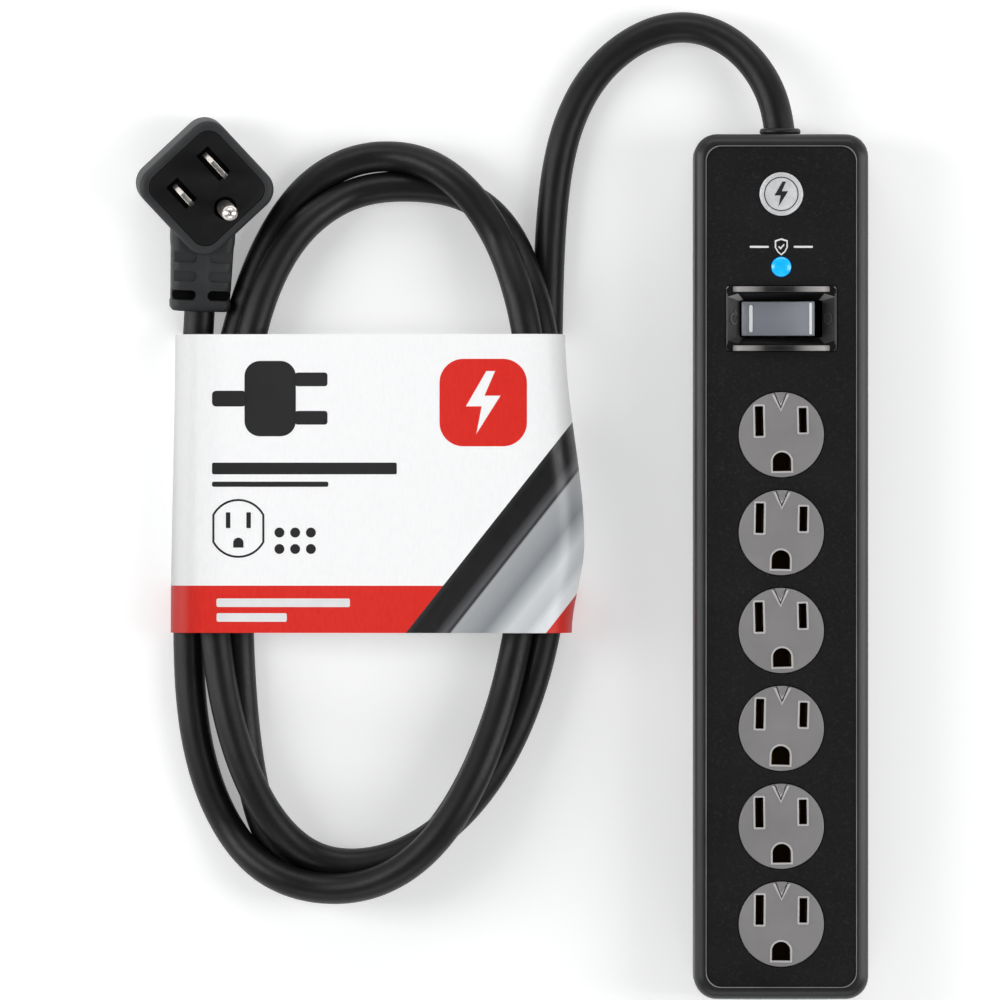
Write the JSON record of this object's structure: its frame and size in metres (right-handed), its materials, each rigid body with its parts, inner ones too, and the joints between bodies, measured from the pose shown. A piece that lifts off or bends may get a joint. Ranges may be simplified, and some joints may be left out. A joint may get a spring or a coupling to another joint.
{
  "type": "surge protector power strip",
  "caption": "Long flat power strip with a row of grounded outlets, a tilting reset switch, a lit indicator and a coiled mains lead in a paper sleeve, ending in a flat right-angle plug.",
  "frame": {"origin": "centre of the strip's underside, without its cord", "axes": "+Y along the strip towards the cord's end, +Z out of the outlets' faces, +X to the right when the faces are seen with the cord's end up"},
  "size_m": [0.214, 0.2889, 0.0387],
  "materials": {
    "case_cover": "black moulded ABS, fine grained panel inside a satin bevelled rim",
    "case_base": "black moulded ABS, satin",
    "screw_steel": "zinc plated",
    "outlet_plastic": "warm grey moulded polycarbonate, satin",
    "contact_brass": "stamped strip, bright",
    "insulator": "natural nylon",
    "switch_frame": "black, semi-gloss",
    "switch_case": "black nylon",
    "rocker_plastic": "blue-grey, satin, with a white bar",
    "status_lens": "translucent bright blue, lit",
    "led_resin": "clear resin",
    "badge_metal": null,
    "board_laminate": "green solder mask",
    "varistor_coating": "blue epoxy dip",
    "component_body": "tan body with tinned leads",
    "black_wire": "black PVC",
    "white_wire": "white PVC",
    "green_wire": "green PVC",
    "cord_jacket": "black PVC jacket, satin",
    "label_paper": "coated white paper printed with a red band and grey stripes",
    "plug_vinyl": "dark grey moulded PVC, fine grained",
    "plug_face": "black moulded insert",
    "pin_nickel": "nickel plated brass, polished"
  },
  "bodies": {
    "strip": {"badge_disc": "badge_metal", "base_shell": "case_base", "board_line_wire": "black_wire", "board_neutral_wire": "white_wire", "circuit_board": "board_laminate", "clamp_screw_1": "screw_steel", "clamp_screw_2": "screw_steel", "contact_carrier": "insulator", "cord_clamp": "switch_case", "cord_coil": "cord_jacket", "cord_collar": "cord_jacket", "cord_jacket_end": "cord_jacket", "cord_lead": "cord_jacket", "cord_tail": "cord_jacket", "cover_screw_1": "screw_steel", "cover_screw_2": "screw_steel", "cover_screw_3": "screw_steel", "cover_screw_4": "screw_steel", "cover_screw_5": "screw_steel", "cover_screw_6": "screw_steel", "ground_bus_bar": "contact_brass", "ground_feed_wire": "green_wire", "label_sleeve": "label_paper", "led_resistor": "component_body", "line_bus_bar": "contact_brass", "line_feed_wire": "black_wire", "line_terminal": "contact_brass", "load_terminal": "contact_brass", "neutral_bus_bar": "contact_brass", "neutral_feed_wire": "white_wire", "outlet_face_1": "outlet_plastic", "outlet_face_2": "outlet_plastic", "outlet_face_3": "outlet_plastic", "outlet_face_4": "outlet_plastic", "outlet_face_5": "outlet_plastic", "outlet_face_6": "outlet_plastic", "plug_body": "plug_vinyl", "plug_core": "plug_face", "plug_ground_pin": "pin_nickel", "plug_line_blade": "pin_nickel", "plug_neutral_blade": "pin_nickel", "rocker_pin": "screw_steel", "status_led": "led_resin", "status_lens": "status_lens", "switch_bezel": "switch_frame", "switch_housing": "switch_case", "switched_wire": "black_wire", "thermal_fuse": "component_body", "top_cover": "case_cover", "varistor_1": "varistor_coating", "varistor_2": "varistor_coating", "varistor_3": "varistor_coating"},
    "rocker": {"rocker": "rocker_plastic", "plunger_spring": "screw_steel", "switch_plunger": "insulator"},
    "contact_arm": {"contact_arm": "contact_brass"}
  },
  "joints": [
    {"name": "rocker_tilt", "type": "hinge", "parent": "strip", "child": "rocker", "pos_m": [0, 0.0722, 0.0248], "axis": [0, 1, 0], "range_deg": [0, 18]},
    {"name": "contact_swing", "type": "hinge", "parent": "strip", "child": "contact_arm", "pos_m": [0, 0.0722, 0.0129], "axis": [0, 1, 0], "range_deg": [-14.1, 0]}
  ],
  "couplings": [
    {"joint": "contact_swing", "follows": "rocker_tilt", "ratio": -0.7778}
  ]
}
